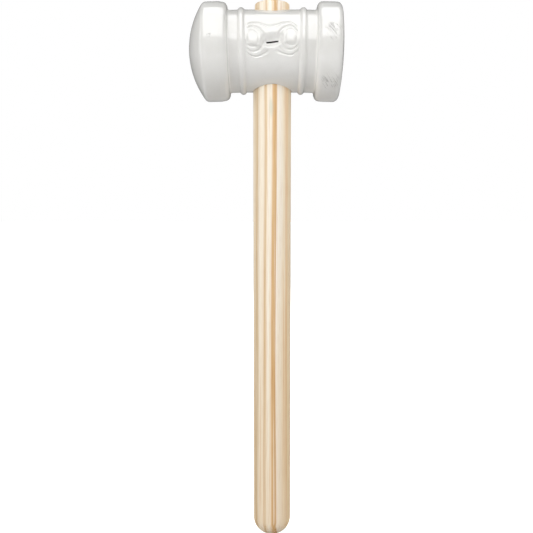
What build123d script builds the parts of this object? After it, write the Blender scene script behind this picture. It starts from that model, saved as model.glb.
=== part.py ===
"""Rubber mallet, in millimetres: a moulded rubber head on a turned wooden handle, held by a staple.

+Z runs up the handle towards the head, and X is the head's long axis: the domed face looks along -X,
the flatter face along +X. The staple is driven in from the -Y side. The origin is the middle of the
straight grip, on the handle's axis.
"""

import os
from math import cos, radians, sin, sqrt

from build123d import *

# Head: distances along it are from the handle's axis, which its long axis crosses
collar_radius = 37.0  # the two striking collars are 74 mm across
waist_radius = 30.6  # the drum between the collars
dome_apex = 63.2  # the domed face's furthest point from the handle's axis
flat_apex = 54.0  # the flatter face's furthest point
face_rim = 51.0  # where each crowned face would meet its collar
collar_inner = 33.0  # the collars' inner shoulders
rim_round = 4.3
shoulder_round = 4.0  # the collar's rounded edge towards the waist
dome_collar_fall = 1.1  # how far each collar's outer band falls towards its shoulder
flat_collar_fall = 0.3
fall_reach = 6.5  # the length of that band
knee_round = 6.0  # where the band meets the collar's straight part
root_round = 1.8  # the hollow where that shoulder meets the waist
bead_offset = 22.7  # two raised beads run round the waist
bead_height = 1.7
bead_half_width = 2.4
bead_root_round = 1.2
end_lean = 1.6  # degrees that each bead, collar and face leans out at the top
mouth_round = 0.6  # the edges of the hole for the handle

# Dimple that the staple has drawn into the front of the rubber
dimple_half_width = 8.5
dimple_half_height = 5.4
dimple_depth = 3.2
dimple_lip_round = 1.0

# Handle, a straight dowel with a tapered tenon right through the head
overall_length = 414.3
grip_radius = 14.5
butt_round = 13.5
taper_lead = 1.0  # the tenon starts to taper this far short of the head
tenon_end_radius = 13.2
tenon_above_axis = 37.8  # the tenon's top, above the head's long axis
tenon_crown = 2.6  # how far its end bulges
tenon_rim_round = 2.0

# Staple, of square wire, driven through the rubber and into the tenon
crown_width = 9.0
wire = 1.2
crown_bend = 0.8  # the crown's outer corners
crown_tilt = 8.0  # degrees off the head's long axis
leg_length = 38.0
leg_point = 1.0  # the slope of the chisel points
staple_rise = 1.5  # above the head's long axis
staple_sink = 0.4  # the crown lies this far below the bottom of the dimple

# Places that follow from the sizes
butt_below_axis = overall_length - tenon_above_axis
grip_length = butt_below_axis - butt_round - waist_radius - taper_lead
head_height = grip_length / 2 + taper_lead + waist_radius  # its long axis, above the mid grip
butt_z = -grip_length / 2 - butt_round
tenon_top_z = head_height + tenon_above_axis
tenon_rim_z = tenon_top_z - tenon_crown
dimple_bottom = waist_radius - dimple_depth  # in front of the handle's axis
crown_face = dimple_bottom - staple_sink


def arc_radius(half_chord, rise):
    """The radius of the arc that rises this far over twice this half chord."""
    return (half_chord**2 + rise**2) / (2 * rise)


def tilted_plane(distance):
    """A plane as tilted as the staple, this far in front of the handle's axis: its Y runs to the back."""
    tilt = radians(crown_tilt)
    return Plane(
        origin=(0, -distance, head_height + staple_rise),
        x_dir=(cos(tilt), 0, sin(tilt)),
        z_dir=(-sin(tilt), 0, cos(tilt)),
    )


# Staple: a crown along local X and two legs down local Y, each with a chisel point
leg_inner = crown_width / 2 - wire
with BuildPart() as fixing_staple:
    with BuildSketch(tilted_plane(crown_face)) as staple_outline:
        with BuildLine():
            Polyline(
                (-crown_width / 2, 0),
                (crown_width / 2, 0),
                (crown_width / 2, leg_length - leg_point),
                (leg_inner, leg_length),
                (leg_inner, wire),
                (-leg_inner, wire),
                (-leg_inner, leg_length),
                (-crown_width / 2, leg_length - leg_point),
                close=True,
            )
        make_face()
        fillet(staple_outline.vertices().group_by(Axis.Y)[0], crown_bend)
    extrude(amount=wire / 2, both=True)

# Handle
with BuildPart() as handle:
    with BuildSketch(Plane.XZ) as half_handle:
        with BuildLine():
            Polyline(
                (0, tenon_top_z),
                (0, butt_z),
                (grip_radius, butt_z),
                (grip_radius, grip_length / 2),
                (tenon_end_radius, tenon_rim_z),
            )
            crown_arc = arc_radius(tenon_end_radius, tenon_crown)
            RadiusArc((tenon_end_radius, tenon_rim_z), (0, tenon_top_z), -crown_arc)
        make_face()
        for corner, radius in (
            ((grip_radius, butt_z), butt_round),
            ((tenon_end_radius, tenon_rim_z), tenon_rim_round),
        ):
            fillet(half_handle.vertices().sort_by_distance(corner)[0], radius)
    revolve(axis=Axis.Z)
    add(fixing_staple.part, mode=Mode.SUBTRACT)

# Head: two collars with crowned faces, and a beaded waist between them
pocket_radius = arc_radius(dimple_half_height, dimple_depth)
pocket_arc = arc_radius(dimple_half_width, dimple_depth)
pocket_reach = sqrt(pocket_arc**2 - (pocket_arc - pocket_radius) ** 2)
pocket_plane = tilted_plane(dimple_bottom + pocket_radius)
bead_arc = arc_radius(bead_half_width, bead_height)
bead_crest = waist_radius + bead_height
with BuildPart() as mallet_head:
    # The waist ends inside the beads
    with BuildSketch(Plane.YZ.offset(-bead_offset)):
        with Locations((0, head_height)):
            Circle(waist_radius)
    extrude(amount=2 * bead_offset)

    # Each end is revolved in a frame of its own, with local X outwards from the middle of its bead
    for side, apex, fall in ((-1, dome_apex, dome_collar_fall), (1, flat_apex, flat_collar_fall)):
        lean = radians(end_lean)
        end_plane = Plane(
            origin=(side * bead_offset, 0, head_height),
            x_dir=(side * cos(lean), 0, -sin(lean)),
            z_dir=(sin(lean), 0, side * cos(lean)),
        )
        with BuildSketch(end_plane) as half_end:
            with BuildLine():
                Polyline(
                    (collar_inner - bead_offset, waist_radius),
                    (collar_inner - bead_offset, collar_radius - fall),
                    (collar_inner + fall_reach - bead_offset, collar_radius),
                    (face_rim - bead_offset, collar_radius),
                )
                face_arc = arc_radius(collar_radius, apex - face_rim)
                RadiusArc((face_rim - bead_offset, collar_radius), (apex - bead_offset, 0), face_arc)
                Polyline((apex - bead_offset, 0), (-bead_arc, 0), (-bead_arc, bead_crest - bead_arc))
                ThreePointArc(
                    (-bead_arc, bead_crest - bead_arc),
                    (0, bead_crest),
                    (bead_half_width, waist_radius),
                )
                Line((bead_half_width, waist_radius), (collar_inner - bead_offset, waist_radius))
            make_face()
            for x, y, radius in (
                (face_rim, collar_radius, rim_round),
                (collar_inner + fall_reach, collar_radius, knee_round),
                (collar_inner, collar_radius - fall, shoulder_round),
                (collar_inner, waist_radius, root_round),
                (bead_offset + bead_half_width, waist_radius, bead_root_round),
            ):
                fillet(half_end.vertices().sort_by_distance((x - bead_offset, y))[0], radius)
        revolve(axis=Axis(end_plane.origin, end_plane.x_dir))
        fillet(mallet_head.edges(Select.NEW), bead_root_round)

    # The dimple is the hollow of a spindle laid along the staple's crown
    with BuildSketch(pocket_plane):
        with BuildLine():
            ThreePointArc((-pocket_reach, 0), (0, pocket_radius), (pocket_reach, 0))
            Line((-pocket_reach, 0), (pocket_reach, 0))
        make_face()
    revolve(axis=Axis(pocket_plane.origin, pocket_plane.x_dir), mode=Mode.SUBTRACT)
    fillet(mallet_head.edges(Select.LAST), dimple_lip_round)

    # The hole for the handle, with its mouths eased
    add(handle.part, mode=Mode.SUBTRACT)
    fillet(mallet_head.edges(Select.LAST).filter_by(GeomType.BSPLINE), mouth_round)

    # The staple's two leg holes, and the slot that its crown lies in
    add(fixing_staple.part, mode=Mode.SUBTRACT)
    with BuildSketch(Plane(tilted_plane(crown_face).origin, tilted_plane(0).x_dir, (0, -1, 0))):
        Rectangle(crown_width, wire)
    extrude(amount=dimple_depth, mode=Mode.SUBTRACT)

mallet_head.part.label = "mallet_head"
handle.part.label = "handle"
fixing_staple.part.label = "fixing_staple"

os.makedirs("parts", exist_ok=True)
export_step(mallet_head.part, "parts/mallet_head.step")
export_step(handle.part, "parts/handle.step")
export_step(fixing_staple.part, "parts/fixing_staple.step")
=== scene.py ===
"""Looks of the rubber mallet: rubber head, pine handle and staple, a pale floor and soft studio light."""

from math import atan2, cos, degrees, hypot, pi, radians, sin, sqrt, tan

import bpy
import numpy as np
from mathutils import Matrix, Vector, noise


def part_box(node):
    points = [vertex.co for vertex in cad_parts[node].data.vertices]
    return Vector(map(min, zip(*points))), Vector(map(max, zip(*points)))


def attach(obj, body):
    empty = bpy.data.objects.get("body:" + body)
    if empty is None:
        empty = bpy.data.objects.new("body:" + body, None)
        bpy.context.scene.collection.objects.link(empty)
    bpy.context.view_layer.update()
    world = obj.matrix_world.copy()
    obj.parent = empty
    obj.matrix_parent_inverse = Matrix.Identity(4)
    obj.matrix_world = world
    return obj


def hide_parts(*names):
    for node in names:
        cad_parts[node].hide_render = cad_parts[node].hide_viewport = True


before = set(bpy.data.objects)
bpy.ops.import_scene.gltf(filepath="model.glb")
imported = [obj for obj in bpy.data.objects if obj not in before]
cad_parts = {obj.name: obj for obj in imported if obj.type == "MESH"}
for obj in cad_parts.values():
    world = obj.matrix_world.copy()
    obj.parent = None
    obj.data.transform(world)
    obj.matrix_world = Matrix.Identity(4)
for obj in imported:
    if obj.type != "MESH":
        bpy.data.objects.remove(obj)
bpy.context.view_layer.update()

MM = 0.001
handle_low, handle_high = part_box("handle")
TENON_ABOVE_AXIS = 37.8
AXIS_Z = handle_high.z - TENON_ABOVE_AXIS * MM  # the head's long axis, in metres

# Head, in millimetres: distances along it are from the handle's axis
COLLAR = 37.0
WAIST = 30.6
DOME_APEX = 63.19
FLAT_APEX = 53.99
END_LEAN = radians(1.6)  # each end leans out at the top, from its bead
LEAN_START, LEAN_FADE = 18.0, 3.0  # the lean grows from nothing over this stretch
FACE_RIM = 51.0
COLLAR_INNER = 33.0
RIM_ROUND = 4.3
SHOULDER_ROUND = 4.0
DOME_FALL = 1.1  # how far each collar's outer band falls towards its shoulder
FLAT_FALL = 0.3
FALL_REACH = 6.5
KNEE_ROUND = 6.0
ROOT_ROUND = 1.8
BEAD_OFFSET = 22.7
BEAD_HEIGHT = 1.7
BEAD_HALF = 2.4
BEAD_ROOT = 1.2
PATCH_X = 19.0  # the plain middle of the waist, between the beads
MOUTH_ROUND = 0.6
MOUTH_GAP = 0.12  # the dark line between the rubber and the wood
SKIN_DRIFT = 0.03  # how unevenly the rubber's skin was moulded

# The head's grid: rows run along it and columns round it
FINE_COLUMNS = 109  # across the plain middle
PATCH_ANGLE = 45.0  # the front, top, back and bottom quarters reach this far either side of their middles
FRONT_ROWS = 139
QUARTER_ROWS = 30  # in each of the other three quarters

# Handle, in millimetres
GRIP = 14.5
TENON_END = 13.2
BUTT_ROUND = 13.5
TENON_CROWN = 2.6
TENON_RIM_ROUND = 2.0
TAPER_LEAD = 1.0  # the taper starts this far below the head
BUTT_Z = handle_low.z / MM
TOP_Z = handle_high.z / MM
TAPER_Z = AXIS_Z / MM - WAIST - TAPER_LEAD
TURNING_DRIFT = 0.0012  # how unevenly the wood was turned, as a share of its radius

# Staple and its slot, in millimetres
STAPLE_RISE = 1.5  # above the head's long axis
STAPLE_TILT = radians(8.0)
CROWN_HALF = 4.5
CROWN_FACE = 27.0  # in front of the handle's axis
WIRE = 1.2
WIRE_CORNER = 0.28
CROWN_BEND = 0.9
LEG = 38.0
POINT_LENGTH, POINT_SHARE = 1.0, 0.35  # each leg thins to this share over this length
SLOT_FLOOR = 26.3
SLOT_END_WALL = (0.06, 0.14)  # the slot's walls rise between these gaps from the wire
SLOT_SIDE_WALL = (0.04, 0.12)
WALL_CLEAR = 0.12  # other rows and columns keep this far from a wall

# Dimple, in millimetres from the staple's middle
RELIEF_REACH = 24.0  # all the relief lies within this height
DIMPLE_HALF_WIDTH = 7.6
DIMPLE_DEPTH = 3.3
DIMPLE_NARROWING = 0.45  # the share of its width that it loses towards its lower lip
DIMPLE_FALL, DIMPLE_POWER = 1.3, 3.2  # how its two ends rise to the surface
UPPER_FLANK, UPPER_FLOOR = 7.4, 0.9  # its upper lip, and the foot of the slope below it
LOWER_FLANK, LOWER_FLOOR = 4.8, 1.0  # the same below the staple

# Puckers: grooves on evenly spaced levels of a Cassini oval, which is 1 where the oval is pinched shut
PUCKER_SHIFT = 0.6
PUCKER_RISE = 2.4  # the ovals' middle, above the staple
FOCUS = 15.0  # from their middle to each of their two centres, in millimetres
FLATTEN = 0.675
OUTER_LEVEL = 1.16
LEVEL_STEP = 0.3
GROOVE_DEPTH = 0.62
GROOVE_WIDTH = 0.16  # as a share of the step, as are the ridge's place and width
RIDGE_PLACE, RIDGE_WIDTH = 0.36, 0.15
RIDGE_SHARE = 0.4  # of the groove's depth
INNER_LEVEL, INNER_FADE = 0.36, 0.5  # no grooves show below this level
LAST_LEVEL, LAST_FADE = 1.33, 0.12  # or above this one
CALM_HALF_WIDTH, CALM_TOP, CALM_FADE = 5.0, 4.0, 4.0  # or round the staple itself

# Lobes: a pillow at each end of the dimple
LOBE_PLACE = 13.2
LOBE_HALF = 4.9
LOBE_HEIGHT = 1.3
LOBE_TOP = 8.5  # it swells from here downwards
LOBE_FOOT, LOBE_FOOT_FADE = 3.4, 2.4  # and falls steeply to here, below the staple
PATCH_FADE = 1.5  # puckers and lobes die out this far short of the beads

# Marks on the rubber, in millimetres from the head's middle
PIT = (-58.2, -27.2, 2.4)
SMUDGE = (-45.6, -37.2, 4.9)
SCRATCH_HIGH = (44.0, -36.5, 8.0)
SCRATCH_LOW = (42.0, -26.4, -26.6)

# Wood, in metres
PITH_ASIDE, PITH_BEHIND = 0.0738, 0.004  # the tree's middle, to the left of the handle's axis and behind it
RING_WANDER = 0.006
STAIN = (-0.0008, -0.0145, AXIS_Z - 0.0440)  # on the handle's front


def arc_radius(half_chord, rise):
    """The radius of the arc that rises this far over twice this half chord."""
    return (half_chord**2 + rise**2) / (2 * rise)


def arc(cx, cy, radius, start, end, steps):
    """Points along an arc, angles in degrees, its first point left out."""
    angles = np.radians(np.linspace(start, end, steps + 1)[1:])
    return [(cx + radius * cos(a), cy + radius * sin(a)) for a in angles]


def line(a, b, steps):
    """Points along a line, its first point left out."""
    shares = np.linspace(0, 1, steps + 1)[1:]
    return [(a[0] + (b[0] - a[0]) * t, a[1] + (b[1] - a[1]) * t) for t in shares]


def half_profile(apex, fall):
    """(x, radius) from the edge of the waist's plain middle out to the pole of one face."""
    bead_r = arc_radius(BEAD_HALF, BEAD_HEIGHT)
    bead_y = WAIST + BEAD_HEIGHT - bead_r
    root_y = WAIST + BEAD_ROOT
    reach = sqrt((bead_r + BEAD_ROOT) ** 2 - (root_y - bead_y) ** 2)
    meet = degrees(atan2(root_y - bead_y, reach))
    points = line((PATCH_X, WAIST), (BEAD_OFFSET - reach, WAIST), 1)
    points += arc(BEAD_OFFSET - reach, root_y, BEAD_ROOT, -90, -meet, 5)
    points += arc(BEAD_OFFSET, bead_y, bead_r, 180 - meet, meet, 14)
    points += arc(BEAD_OFFSET + reach, root_y, BEAD_ROOT, 180 + meet, 270, 5)
    points += line(points[-1], (COLLAR_INNER - ROOT_ROUND, WAIST), 5)
    points += arc(COLLAR_INNER - ROOT_ROUND, WAIST + ROOT_ROUND, ROOT_ROUND, -90, 0, 7)
    # The shoulder, the band that rises from it, and the knee where the band turns level
    rise = atan2(fall, FALL_REACH)
    shoulder_x = COLLAR_INNER + SHOULDER_ROUND
    shoulder_y = COLLAR - fall + SHOULDER_ROUND * (tan(rise) - 1 / cos(rise))
    points += line(points[-1], (COLLAR_INNER, shoulder_y), 2)
    points += arc(shoulder_x, shoulder_y, SHOULDER_ROUND, 180, 90 + degrees(rise), 12)
    knee_x = COLLAR_INNER + FALL_REACH + KNEE_ROUND * tan(rise / 2)
    knee_start = (knee_x - KNEE_ROUND * sin(rise), COLLAR - KNEE_ROUND * (1 - cos(rise)))
    points += line(points[-1], knee_start, 6)
    points += arc(knee_x, COLLAR - KNEE_ROUND, KNEE_ROUND, 90 + degrees(rise), 90, 4)
    # The crowned face and its rounded rim
    face_r = arc_radius(COLLAR, apex - FACE_RIM)
    face_x = apex - face_r
    rim_y = COLLAR - RIM_ROUND
    rim_x = face_x + sqrt((face_r - RIM_ROUND) ** 2 - rim_y**2)
    turn = degrees(atan2(rim_y, rim_x - face_x))
    points += line(points[-1], (rim_x, COLLAR), 6)
    points += arc(rim_x, rim_y, RIM_ROUND, 90, turn, 10)
    points += arc(face_x, 0, face_r, turn, 0, 26)
    return points


def tenon_radius(z):
    """The handle's radius at a height in millimetres, where it tapers through the head."""
    share = (z - TAPER_Z) / (TOP_Z - TENON_CROWN - TAPER_Z)
    return GRIP + (TENON_END - GRIP) * min(max(share, 0), 1)


def smooth(t):
    """An eased step, from 0 where t is 0 or less to 1 where it is 1 or more."""
    t = np.clip(t, 0, 1)
    return t * t * (3 - 2 * t)


def noise_at(points, scale, seed):
    """Smooth noise from -1 to 1 at points in millimetres, with features of about this size."""
    shift = Vector((seed * 17.3, seed * 5.1, seed * 9.7))
    return np.array([noise.noise(Vector(p) / scale + shift) for p in points])


def relief(u, w, wobble_a, wobble_b):
    """How far the rubber stands out (mm), u along the head and w up its front from the staple's middle.

    The wobbles are noise from -1 to 1, and each factor on one is in millimetres.
    """
    # Dimple: a hollow with a long upper flank and a short lower one, that narrows downwards
    half = DIMPLE_HALF_WIDTH * (1 - DIMPLE_NARROWING * smooth(-w / LOWER_FLANK))
    across = np.exp(-DIMPLE_FALL * np.abs((u + 0.4 * wobble_a) / half) ** DIMPLE_POWER)
    upper = smooth((UPPER_FLANK - w - 0.6 * wobble_b) / (UPPER_FLANK - UPPER_FLOOR))
    lower = smooth((w + LOWER_FLANK + 0.5 * wobble_a) / (LOWER_FLANK - LOWER_FLOOR))
    dimple = -DIMPLE_DEPTH * across * upper * lower

    # Puckers: nested ovals pinched in the middle, each a groove between soft ridges
    pu = u + PUCKER_SHIFT + 1.0 * wobble_a
    pw = w - PUCKER_RISE + 0.8 * wobble_b
    level = np.hypot(pu - FOCUS, pw * FLATTEN) * np.hypot(pu + FOCUS, pw * FLATTEN) / FOCUS**2
    place = (level - OUTER_LEVEL) / LEVEL_STEP
    off = np.abs(place - np.round(place))
    groove = -GROOVE_DEPTH * np.exp(-((off / GROOVE_WIDTH) ** 2))
    ridge = RIDGE_SHARE * GROOVE_DEPTH * np.exp(-(((off - RIDGE_PLACE) / RIDGE_WIDTH) ** 2))
    shown = smooth((level - INNER_LEVEL) / INNER_FADE) * smooth((LAST_LEVEL - level) / LAST_FADE)
    calm = smooth((CALM_HALF_WIDTH - np.abs(u)) / CALM_FADE) * smooth((CALM_TOP - w) / CALM_FADE)
    puckers = (groove + ridge) * (shown * (1 - calm))

    # Lobes
    ends = np.exp(-(((np.abs(pu) - LOBE_PLACE) / LOBE_HALF) ** 4))
    swell = smooth((LOBE_TOP - w - 0.6 * wobble_a) / LOBE_TOP)
    foot = smooth((w + LOBE_FOOT + 0.8 * wobble_b) / LOBE_FOOT_FADE)
    lobes = LOBE_HEIGHT * ends * (swell * foot)

    return dimple + (puckers + lobes) * smooth((PATCH_X - np.abs(u)) / PATCH_FADE)


def mesh_object(name, points, faces, sharp=40):
    """A mesh from points in millimetres, with edges that turn by more than sharp degrees kept crisp."""
    mesh = bpy.data.meshes.new(name)
    mesh.from_pydata([tuple(c * MM for c in p) for p in points], [], faces)
    mesh.validate()
    mesh.update()
    mesh.polygons.foreach_set("use_smooth", [True] * len(mesh.polygons))
    mesh.set_sharp_from_angle(angle=radians(sharp))
    obj = bpy.data.objects.new(name, mesh)
    bpy.context.scene.collection.objects.link(obj)
    return obj


def compact(points, faces):
    """Drops the points that no face uses."""
    used = sorted({i for f in faces for i in f})
    place = {old: new for new, old in enumerate(used)}
    return [points[i] for i in used], [tuple(place[i] for i in f) for f in faces]


def head_columns():
    """(x, radius) of the grid's columns, with the first and last of those in the plain middle."""
    slot_ends = [CROWN_HALF + gap for gap in (0.0, 0.1, 0.2)]  # no other columns stand close to these
    fine = [x for x in np.linspace(-PATCH_X, PATCH_X, FINE_COLUMNS)
            if min(abs(abs(x) - end) for end in slot_ends) > WALL_CLEAR]
    fine += [side * (CROWN_HALF + gap) for side in (-1, 1) for gap in SLOT_END_WALL]
    left = [(-x, r) for x, r in half_profile(DOME_APEX, DOME_FALL)]
    right = half_profile(FLAT_APEX, FLAT_FALL)
    columns = left[::-1][1:] + [(x, WAIST) for x in sorted(fine)] + right[:-1]
    first = len(left) - 1
    return columns, first, first + len(fine) - 1


def head_rows(rise):
    """Angles of the grid's rows from the front, with the number of those in the front quarter."""
    walls = [side * (WIRE / 2 + gap) / WAIST + rise for side in (-1, 1) for gap in SLOT_SIDE_WALL]
    front = [a for a in np.radians(np.linspace(-PATCH_ANGLE, PATCH_ANGLE, FRONT_ROWS))
             if min(abs(a - wall) for wall in walls) > WALL_CLEAR / WAIST]
    front = sorted(front + walls)
    rest = np.radians(np.linspace(PATCH_ANGLE, 360 - PATCH_ANGLE, 3 * QUARTER_ROWS + 1))[1:-1]
    return front + list(rest), len(front)


def head_grid(columns, angles, rise):
    """The grid's points, with its rows sheared at the front to follow the staple, and with the relief."""
    x, radius = (np.array([c[k] for c in columns])[None, :].repeat(len(angles), 0) for k in (0, 1))
    angle = np.array(angles)[:, None].repeat(len(columns), 1)
    turned = np.where(angle > pi, angle - 2 * pi, angle)
    w = (turned - rise) * WAIST
    window = smooth((17 - np.abs(x)) / 9) * smooth((19 - np.abs(w)) / 13)  # where the rows are sheared
    angle = angle + x * tan(STAPLE_TILT) * window / WAIST
    flat = np.stack([x, np.zeros_like(x), (angle - rise) * WAIST], -1).reshape(-1, 3)
    wobble_a = noise_at(flat, 7.0, 3).reshape(x.shape)
    wobble_b = noise_at(flat, 5.5, 8).reshape(x.shape)
    carved = (np.abs(x) < PATCH_X) & (np.abs(w) < RELIEF_REACH)
    radius = radius + np.where(carved, relief(x, w, wobble_a, wobble_b), 0)
    slot_half = CROWN_HALF + sum(SLOT_END_WALL) / 2
    slot_height = WIRE / 2 + sum(SLOT_SIDE_WALL) / 2
    radius = np.where((np.abs(x) < slot_half) & (np.abs(w) < slot_height), SLOT_FLOOR, radius)
    grid = np.stack([x, -radius * np.cos(angle), radius * np.sin(angle)], -1)
    return [tuple(p) for p in grid.reshape(-1, 3)]


def mouth_rings(outer, up):
    """Rings of (plan, height) from a mouth's outline in to its lip and down the bore, and their angles."""
    turn = np.arctan2(outer[:, 1], outer[:, 0])
    toward = np.stack([np.cos(turn), np.sin(turn)], -1)
    height = np.full(turn.shape, WAIST)
    for _ in range(3):  # the hole's radius and the waist's height there depend on each other
        hole = np.array([tenon_radius(AXIS_Z / MM + up * h) for h in height])
        hole = hole + MOUTH_GAP
        height = np.sqrt(WAIST**2 - (hole * toward[:, 1]) ** 2)
    lip = toward * (hole + MOUTH_ROUND)[:, None]
    rings = []
    for share in (1 - (np.arange(1, 11) / 10)) ** 1.4:
        plan = lip + (outer - lip) * share
        rings.append((plan, np.sqrt(WAIST**2 - plan[:, 1] ** 2)))
    for a in np.radians(np.linspace(90, 0, 7))[1:]:
        plan = toward * (hole + MOUTH_ROUND * (1 - cos(a)))[:, None]
        rings.append((plan, np.sqrt(WAIST**2 - plan[:, 1] ** 2) - MOUTH_ROUND * (1 - sin(a))))
    return rings, turn


def lean_and_drift(points):
    """The head's points with its ends leant and its skin a little untrue, never outside the true outline."""
    drift = noise_at(points, 9.0, 1)
    moved = []
    for (x, y, z), push in zip(points, drift):
        inward = 1 - SKIN_DRIFT * (1 + push) / max(hypot(y, z), 1.0)
        y, z = y * inward, z * inward
        side = 1 if x > 0 else -1
        lean = side * END_LEAN * float(smooth((abs(x) - LEAN_START) / LEAN_FADE))
        out = x - side * BEAD_OFFSET
        x = side * BEAD_OFFSET + out * cos(lean) + z * sin(lean)
        z = z * cos(lean) - out * sin(lean)
        moved.append((x, y, z + AXIS_Z / MM))
    return moved


def make_head():
    """The head as one closed skin: a revolved grid, a patch round each mouth, and the bore between them."""
    rise = np.arcsin(STAPLE_RISE / WAIST)
    columns, first, last = head_columns()
    angles, front_rows = head_rows(rise)
    rows, width = len(angles), len(columns)
    top_first, top_last = front_rows - 1, front_rows - 1 + QUARTER_ROWS
    low_first, low_last = rows - QUARTER_ROWS, rows
    points = head_grid(columns, angles, rise)

    def at(row, column):
        return (row % rows) * width + column

    faces = []
    for row in range(rows):
        in_patch = top_first <= row < top_last or low_first <= row < low_last
        for column in range(width - 1):
            if not (in_patch and first <= column < last):
                below = (at(row, column), at(row, column + 1))
                faces.append((*below, at(row + 1, column + 1), at(row + 1, column)))
    for column, pole in ((0, -DOME_APEX), (width - 1, FLAT_APEX)):
        points.append((pole, 0.0, 0.0))
        for row in range(rows):
            ring = (at(row, column), at(row + 1, column), len(points) - 1)
            faces.append(ring if column == 0 else ring[::-1])

    # A patch round each mouth, ring by ring from the grid in to the lip
    mouths = []
    for up, begin, end in ((1, top_first, top_last), (-1, low_first, low_last)):
        ring = [at(begin, c) for c in range(first, last)]
        ring += [at(r, last) for r in range(begin, end)]
        ring += [at(end, c) for c in range(last, first, -1)]
        ring += [at(r, first) for r in range(end, begin, -1)]
        rings, turn = mouth_rings(np.array([points[i][:2] for i in ring]), up)
        for plan, z in rings:
            inner = list(range(len(points), len(points) + len(ring)))
            points += [(p[0], p[1], up * h) for p, h in zip(plan, z)]
            for i in range(len(ring)):
                j = (i + 1) % len(ring)
                faces.append((ring[i], ring[j], inner[j], inner[i]))
            ring = inner
        mouths.append((ring, turn))

    # The bore joins each point of the upper mouth to the one below it
    (top, top_turns), (low, low_turns) = mouths
    matched = [int(np.argmin(np.abs(np.angle(np.exp(1j * (low_turns - t)))))) for t in top_turns]
    for i in range(len(top)):
        j = (i + 1) % len(top)
        faces.append((top[i], top[j], low[matched[j]], low[matched[i]]))

    points, faces = compact(points, faces)
    return mesh_object("rubber_head", lean_and_drift(points), faces)


def revolve_mesh(name, profile, steps, drift):
    """A closed solid of revolution about the handle's axis, from (radius, z) in millimetres, pole to pole."""
    points = [(0.0, 0.0, profile[0][1])]
    for radius, z in profile[1:-1]:
        for a in np.linspace(0, 2 * pi, steps, endpoint=False):
            points.append((radius * cos(a), radius * sin(a), z))
    points.append((0.0, 0.0, profile[-1][1]))
    uneven = 1 - drift * (1 + noise_at([(x, y, z / 6) for x, y, z in points], 7.0, 5))
    points = [(x * share, y * share, z) for (x, y, z), share in zip(points, uneven)]
    faces = []
    for ring in range(len(profile) - 3):
        low = 1 + ring * steps
        for i in range(steps):
            j = (i + 1) % steps
            faces.append((low + i, low + j, low + steps + j, low + steps + i))
    end = len(points) - 1
    for i in range(steps):
        j = (i + 1) % steps
        faces.append((0, 1 + j, 1 + i))
        faces.append((end, end - steps + i, end - steps + j))
    return mesh_object(name, points, faces)


def make_handle():
    """The dowel with its rounded butt, its tapered tenon and the crowned end above the head."""
    profile = [(0.0, BUTT_Z), ((GRIP - BUTT_ROUND) / 2, BUTT_Z), (GRIP - BUTT_ROUND, BUTT_Z)]
    profile += arc(GRIP - BUTT_ROUND, BUTT_Z + BUTT_ROUND, BUTT_ROUND, -90, 0, 20)
    profile += line(profile[-1], (GRIP, TAPER_Z), 60)
    crown_r = arc_radius(TENON_END, TENON_CROWN)
    rim_x = TENON_END - TENON_RIM_ROUND
    rim_z = TOP_Z - crown_r + sqrt((crown_r - TENON_RIM_ROUND) ** 2 - rim_x**2)
    turn = degrees(atan2(rim_z - (TOP_Z - crown_r), rim_x))
    profile += line(profile[-1], (TENON_END, rim_z), 14)
    profile += arc(rim_x, rim_z, TENON_RIM_ROUND, 0, turn, 8)
    profile += arc(0, TOP_Z - crown_r, crown_r, turn, 90, 10)
    return revolve_mesh("pine_handle", profile, 128, TURNING_DRIFT)


def make_staple():
    """The staple as drawn wire: a rounded square swept up one leg, over the crown and down the other."""
    half = WIRE / 2
    knee = CROWN_HALF - half
    path = [(-knee, LEG, 90), (-knee, LEG - POINT_LENGTH, 90), (-knee, CROWN_BEND + half, 90)]
    path += [
        (-knee + CROWN_BEND - CROWN_BEND * cos(a), half + CROWN_BEND - CROWN_BEND * sin(a), 90 - degrees(a))
        for a in np.radians(np.linspace(0, 90, 7)[1:])
    ]
    path += [(-x, y, -t) for x, y, t in path[::-1]]
    section = []
    inset = half - WIRE_CORNER
    for sx, sy, begin in ((1, 1, 0), (-1, 1, 90), (-1, -1, 180), (1, -1, 270)):
        for a in np.radians(np.linspace(begin, begin + 90, 5)):
            section.append((sx * inset + WIRE_CORNER * cos(a), sy * inset + WIRE_CORNER * sin(a)))
    rise = Vector((-sin(STAPLE_TILT), 0, cos(STAPLE_TILT)))
    along = Vector((cos(STAPLE_TILT), 0, sin(STAPLE_TILT)))
    start = Vector((0, -CROWN_FACE, AXIS_Z / MM + STAPLE_RISE))
    points, faces = [], []
    for n, (x, y, turn) in enumerate(path):
        thin = POINT_SHARE if n in (0, len(path) - 1) else 1.0
        across = (sin(radians(turn)), cos(radians(turn)))
        for p, q in section:
            px, py = x - p * thin * across[0], y - p * thin * across[1]
            points.append(tuple(start + along * px + Vector((0, py, 0)) + rise * q))
    count = len(section)
    for ring in range(0, count * (len(path) - 1), count):
        for i in range(count):
            j = (i + 1) % count
            faces.append((ring + i, ring + count + i, ring + count + j, ring + j))
    faces.append(tuple(range(count)))
    faces.append(tuple(range(len(points) - 1, len(points) - count - 1, -1)))
    return mesh_object("steel_staple", points, faces, 60)


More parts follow.
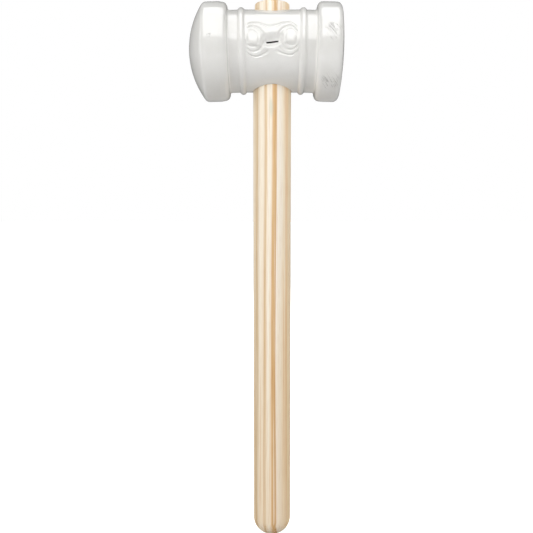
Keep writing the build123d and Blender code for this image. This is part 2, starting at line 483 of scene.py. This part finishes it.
class Net:
    """A material's node tree, made a node at a time."""

    def __init__(self, name, tree=None):
        if tree is None:
            self.material = bpy.data.materials.new(name)
            self.material.use_nodes = True
            tree = self.material.node_tree
        self.tree = tree
        tree.nodes.clear()

    def add(self, kind, settings=None, **inputs):
        """A node, its inputs named with _ for a space, or i0, i1 where names repeat."""
        node = self.tree.nodes.new("ShaderNode" + kind)
        for key, value in (settings or {}).items():
            setattr(node, key, value)
        for key, value in inputs.items():
            indexed = key[0] == "i" and key[1:].isdigit()
            socket = node.inputs[int(key[1:]) if indexed else key.replace("_", " ")]
            if isinstance(value, bpy.types.NodeSocket):
                self.tree.links.new(value, socket)
            else:
                socket.default_value = value
        return node

    def math(self, operation, a, b=0.0, clamp=False):
        return self.add("Math", {"operation": operation, "use_clamp": clamp}, i0=a, i1=b).outputs[0]

    def vector(self, operation, a, b=(0.0, 0.0, 0.0)):
        return self.add("VectorMath", {"operation": operation}, i0=a, i1=b)

    def noise(self, at, scale, detail=3.0, rough=0.5):
        return self.add("TexNoise", Vector=at, Scale=scale, Detail=detail, Roughness=rough).outputs["Fac"]

    def stretched_noise(self, at, scales, detail, rough=0.5):
        """Noise with its own scale along each axis."""
        return self.noise(self.vector("MULTIPLY", at, scales).outputs[0], 1.0, detail, rough)

    def range(self, value, low, high, to_low=0.0, to_high=1.0, kind="SMOOTHSTEP"):
        limits = {"i1": low, "i2": high, "i3": to_low, "i4": to_high}
        return self.add("MapRange", {"interpolation_type": kind}, i0=value, **limits).outputs[0]

    def mix(self, share, a, b, blend="MIX"):
        node = self.add("Mix", {"data_type": "RGBA", "blend_type": blend}, i0=share, i6=a, i7=b)
        return node.outputs[2]

    def bump(self, height, distance, strength=1.0, normal=None):
        extra = {} if normal is None else {"Normal": normal}
        return self.add("Bump", Height=height, Distance=distance, Strength=strength, **extra).outputs[0]

    def finish(self, obj, **inputs):
        shader = self.add("BsdfPrincipled", **inputs)
        self.add("OutputMaterial", Surface=shader.outputs[0])
        obj.data.materials.clear()
        obj.data.materials.append(self.material)


def colour(r, g, b):
    """A screen colour from 0 to 255 as linear light."""
    shares = [c / 255 for c in (r, g, b)]
    return tuple(s / 12.92 if s < 0.0405 else ((s + 0.055) / 1.055) ** 2.4 for s in shares) + (1.0,)


def near(net, at, centre, radius, edge):
    """1 within radius of a point in millimetres from the head's middle, falling to 0 over edge."""
    place = (centre[0] * MM, centre[1] * MM, AXIS_Z + centre[2] * MM)
    away = net.vector("DISTANCE", at, place).outputs["Value"]
    return net.range(away, radius * MM, (radius + edge) * MM, 1.0, 0.0)


def rubber(obj):
    """White rubber with a satin gloss, faint clouds and specks, a pit with painted shade in it, a smudge and
    light scratches.
    """
    net = Net("white_rubber")
    at = net.add("TexCoord").outputs["Object"]
    clouds = net.noise(at, 55.0)
    specks = net.noise(at, 1400.0, detail=2.0, rough=0.7)
    base = net.mix(net.range(clouds, 0.35, 0.7), colour(231, 230, 226), colour(236, 235, 232))
    base = net.mix(net.range(specks, 0.62, 0.78, 0.0, 0.30), base, colour(206, 206, 205))
    # A pit in the dome, its hollow painted near-black as painted shade, and a rubbed smudge on the collar
    # beside it
    grit = net.noise(at, 900.0, detail=2.0, rough=0.6)
    pit = near(net, at, PIT, 0.35, 0.5)
    smudge = net.math("MULTIPLY", near(net, at, SMUDGE, 0.8, 1.6), net.range(grit, 0.42, 0.62))
    # Painted shade: the pit's hollow is painted near-black
    base = net.mix(net.math("MULTIPLY", pit, 0.85), base, colour(70, 66, 62))
    base = net.mix(net.math("MULTIPLY", smudge, 0.55), base, colour(120, 116, 112))
    # Fine diagonal scratches in two patches of the flat end's collar
    slanted = net.add("Mapping", Vector=at, Rotation=(0, radians(38), 0)).outputs[0]
    lines = net.stretched_noise(slanted, (1900.0, 120.0, 110.0), detail=2.0, rough=0.6)
    high, low = (near(net, at, place, 4.0, 4.5) for place in (SCRATCH_HIGH, SCRATCH_LOW))
    scratch = net.math("MULTIPLY", net.range(lines, 0.56, 0.66), net.math("ADD", high, low), clamp=True)
    base = net.mix(net.math("MULTIPLY", scratch, 0.45), base, colour(176, 174, 170))
    # Gloss, dulled by the scratches
    gloss = net.range(net.noise(at, 210.0), 0.3, 0.7, 0.10, 0.16)
    gloss = net.math("ADD", gloss, net.math("MULTIPLY", scratch, 0.25))
    # Swells and skin, then the scratches and the pit
    normal = net.bump(net.noise(at, 130.0, detail=2.0), 0.0006, 0.12)
    normal = net.bump(net.noise(at, 1100.0, rough=0.6), 0.00005, 0.16, normal)
    normal = net.bump(scratch, 0.00035, 1.0, normal)
    normal = net.bump(net.math("SUBTRACT", 1.0, pit), 0.0006, 0.9, normal)
    net.finish(obj, Base_Color=base, Roughness=gloss, Normal=normal, Specular_IOR_Level=0.9)


def pine(obj):
    """Pale pine: growth rings, fibre, painted shade towards the butt and a faint stain near the head."""
    net = Net("pine")
    at = net.add("TexCoord").outputs["Object"]
    x, y, z = net.add("SeparateXYZ", Vector=at).outputs
    # Growth rings: distance from a pith far off to one side, wandering a little up the handle
    wander = net.math("SUBTRACT", net.stretched_noise(at, (12.0, 12.0, 2.2), detail=2.0), 0.5)
    px = net.math("ADD", net.math("ADD", x, PITH_ASIDE), net.math("MULTIPLY", wander, RING_WANDER))
    py = net.math("SUBTRACT", y, PITH_BEHIND)
    squares = net.math("ADD", net.math("MULTIPLY", px, px), net.math("MULTIPLY", py, py))
    away = net.math("SQRT", squares)
    # Rings by their distance from the pith in millimetres: pale early wood, then tan late wood
    stops = (
        (60.0, colour(250, 236, 212)),
        (62.6, colour(228, 206, 172)),
        (63.9, colour(216, 188, 148)),
        (65.0, colour(231, 213, 182)),
        (66.6, colour(253, 242, 224)),
        (69.2, colour(252, 240, 220)),
        (70.6, colour(226, 198, 158)),
        (71.3, colour(230, 204, 166)),
        (72.0, colour(250, 236, 214)),
        (74.2, colour(255, 249, 238)),
        (75.4, colour(248, 230, 202)),
        (76.6, colour(226, 190, 140)),
        (79.0, colour(218, 178, 128)),
        (79.6, colour(255, 246, 232)),
        (82.0, colour(254, 242, 224)),
        (84.5, colour(253, 234, 204)),
        (86.4, colour(247, 218, 176)),
        (87.2, colour(252, 232, 200)),
        (90.0, colour(250, 226, 190)),
    )
    first, span = stops[0][0], stops[-1][0] - stops[0][0]
    ring = net.math("DIVIDE", net.math("SUBTRACT", away, first * MM), span * MM)
    ramp = net.add("ValToRGB", i0=ring)
    elements = ramp.color_ramp.elements
    while len(elements) < len(stops):
        elements.new(0.5)
    for element, (place, value) in zip(elements, stops):
        element.position = (place - first) / span
        element.color = value
    base = ramp.outputs["Color"]
    fibre = net.stretched_noise(at, (2600.0, 2600.0, 60.0), detail=3.0, rough=0.6)
    streak = net.stretched_noise(at, (1000.0, 1000.0, 6.0), detail=4.0, rough=0.65)
    base = net.mix(net.range(streak, 0.50, 0.66, 0.0, 0.60), base, colour(255, 248, 236))
    base = net.mix(net.range(streak, 0.47, 0.33, 0.0, 0.45), base, colour(228, 190, 140), "MULTIPLY")
    base = net.mix(net.range(fibre, 0.45, 0.75, 0.0, 0.25), base, colour(206, 168, 120), "MULTIPLY")
    # Painted shade: the wood is painted a little darker and warmer towards the butt, where the light falls
    # off
    painted_shade_to_butt = net.range(z, 0.15, -0.17, 0.0, 0.55)
    base = net.mix(painted_shade_to_butt, base, colour(236, 222, 200), "MULTIPLY")
    # A faint grey-green stain just below the head
    beside = net.vector("SUBTRACT", at, STAIN).outputs[0]
    beside = net.vector("MULTIPLY", beside, (1.0, 0.3, 0.28)).outputs[0]
    reach = net.vector("LENGTH", beside).outputs["Value"]
    patchy = net.range(fibre, 0.3, 0.55, 0.5, 1.0)
    blot = net.math("MULTIPLY", net.range(reach, 0.0006, 0.0028, 0.42, 0.0), patchy)
    base = net.mix(blot, base, colour(196, 203, 186))
    normal = net.bump(fibre, 0.00012, 0.35)
    rough = net.range(streak, 0.3, 0.7, 0.48, 0.62)
    net.finish(obj, Base_Color=base, Roughness=rough, Normal=normal, Specular_IOR_Level=0.35)


def steel(obj):
    """Dull dark steel with a patchy stain."""
    net = Net("staple_steel")
    at = net.add("TexCoord").outputs["Object"]
    stain = net.noise(at, 900.0, detail=4.0, rough=0.6)
    base = net.mix(net.range(stain, 0.4, 0.65), colour(84, 80, 78), colour(58, 52, 48))
    rough = net.range(stain, 0.3, 0.7, 0.35, 0.6)
    normal = net.bump(net.noise(at, 3000.0), 0.00005, 0.5)
    net.finish(obj, Base_Color=base, Roughness=rough, Normal=normal, Metallic=1.0)


for maker, paint, node, slot in (
    (make_head, rubber, "mallet_head", "rubber"),
    (make_handle, pine, "handle", "pine"),
    (make_staple, steel, "fixing_staple", "staple"),
):
    piece = maker()
    paint(piece)
    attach(piece, "root")
    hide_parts(node)

# Camera, in front of the grip and turned down a little
camera_data = bpy.data.cameras.new("camera")
camera_data.sensor_width = 36.0
camera_data.lens = 53.2
camera = bpy.data.objects.new("camera", camera_data)
camera.location = (-0.0043, -0.6115, AXIS_Z - 0.1223)
camera.rotation_euler = (radians(90 - 3.95), 0, 0)
bpy.context.scene.collection.objects.link(camera)
bpy.context.scene.camera = camera

# Backdrop: white where it is seen, and otherwise a dim glow from the front, the back and above
FRONT_GLOW, BACK_GLOW, TOP_GLOW = 0.05, 0.10, 0.28
bpy.context.scene.view_settings.view_transform = "Standard"
world = bpy.data.worlds.new("studio")
bpy.context.scene.world = world
world.use_nodes = True
net = Net("studio", world.node_tree)
direction = net.add("SeparateXYZ", Vector=net.add("TexCoord").outputs["Generated"])
back, up = direction.outputs[1], direction.outputs[2]
glow = net.math("MULTIPLY", net.range(back, 0.3, -1.0, kind="LINEAR"), FRONT_GLOW)
glow = net.math("ADD", glow, net.math("MULTIPLY", net.range(back, -0.3, 0.9), BACK_GLOW))
glow = net.math("ADD", glow, net.math("MULTIPLY", net.range(up, 0.2, 0.95), TOP_GLOW))
seen = net.add("LightPath").outputs["Is Camera Ray"]
strength = net.math("ADD", net.math("MULTIPLY", glow, net.math("SUBTRACT", 1.0, seen)), seen)
sky = net.add("Background", Color=(1.0, 1.0, 1.0, 1), Strength=strength)
net.add("OutputWorld", Surface=sky.outputs[0])

# Soft panels that face the head: azimuth from the front and elevation in degrees, distance, width and
# height in metres, and power. Each is only for gloss or only for diffuse light.
for name, azimuth, elevation, distance, width, height, power, for_gloss in (
    ("overhead", 0, 66.5, 0.915, 1.0, 1.66, 14.0, True),
    ("front", -8, 26, 1.45, 0.9, 1.3, 10.6, False),
    ("left", -58, 8, 1.5, 1.0, 1.4, 11.3, False),
    ("right", 58, 8, 1.5, 1.0, 1.4, 9.2, False),
    ("left_behind", -150, 25, 1.6, 1.0, 1.4, 11.0, False),
    ("right_behind", 150, 25, 1.6, 1.0, 1.4, 11.0, False),
    ("left_edge", -100, 15, 1.5, 0.8, 1.6, 5.0, True),
    ("right_edge", 84, 15, 1.5, 0.8, 1.6, 5.0, True),
):
    light = bpy.data.lights.new(name, "AREA")
    light.shape = "RECTANGLE"
    light.size, light.size_y = width, height
    light.energy = power
    panel = bpy.data.objects.new(name, light)
    turn, lift = radians(azimuth), radians(elevation)
    outward = Vector((sin(turn) * cos(lift), -cos(turn) * cos(lift), sin(lift)))
    panel.location = Vector((0, 0, AXIS_Z)) + outward * distance
    panel.rotation_euler = (radians(90 - elevation), 0, turn)
    panel.visible_camera = False
    panel.visible_glossy = for_gloss
    panel.visible_diffuse = not for_gloss
    bpy.context.scene.collection.objects.link(panel)

# Floor: pale and lit evenly where it is seen, and darker to the light that it throws back
FLOOR_HALF = 20
FLOOR_LIFT = 0.9
floor_z = handle_low.z
corners = [(x * FLOOR_HALF, y * FLOOR_HALF, floor_z) for x, y in ((-1, -1), (1, -1), (1, 1), (-1, 1))]
floor_mesh = bpy.data.meshes.new("floor")
floor_mesh.from_pydata(corners, [], [(0, 1, 2, 3)])
floor = bpy.data.objects.new("floor", floor_mesh)
bpy.context.scene.collection.objects.link(floor)
net = Net("pale_floor")
seen = net.add("LightPath").outputs["Is Camera Ray"]
grain = net.noise(net.add("TexCoord").outputs["Object"], 30.0)
pale = net.mix(grain, (0.93, 0.93, 0.93, 1), (0.95, 0.95, 0.95, 1))
lift = net.math("MULTIPLY", seen, FLOOR_LIFT)
base = net.mix(seen, (0.50, 0.50, 0.50, 1), pale)
net.finish(floor, Base_Color=base, Roughness=0.9, Emission_Color=(1, 1, 1, 1), Emission_Strength=lift)
